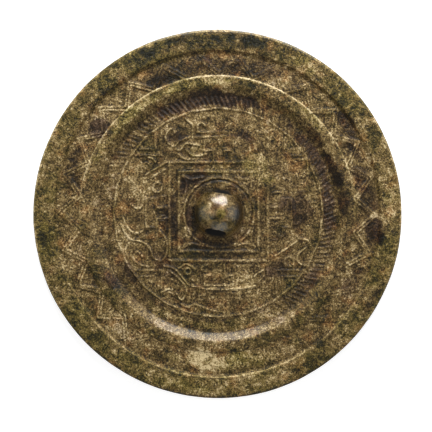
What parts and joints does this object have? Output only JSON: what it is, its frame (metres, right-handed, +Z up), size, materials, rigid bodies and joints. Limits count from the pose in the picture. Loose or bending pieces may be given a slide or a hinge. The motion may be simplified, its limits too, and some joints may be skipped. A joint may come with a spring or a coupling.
{
  "type": "ancient bronze mirror",
  "caption": "Round cast bronze mirror, decorated back up, with zigzag and comb-tooth bands, a square frame with T, L and V marks, scrollwork and a pierced domed knob.",
  "frame": {"origin": "middle of the resting face, the flat middle of the reflecting side, under the centre of the disc", "axes": "+Z up out of the decorated back, +Y towards the top of the pattern, +X to its right"},
  "size_m": [0.165, 0.165, 0.0122],
  "materials": {
    "patinated_bronze": "worn bronze with olive and dark brown patina and dry earth"
  },
  "bodies": {
    "root": {"mirror": "patinated_bronze"}
  },
  "joints": []
}
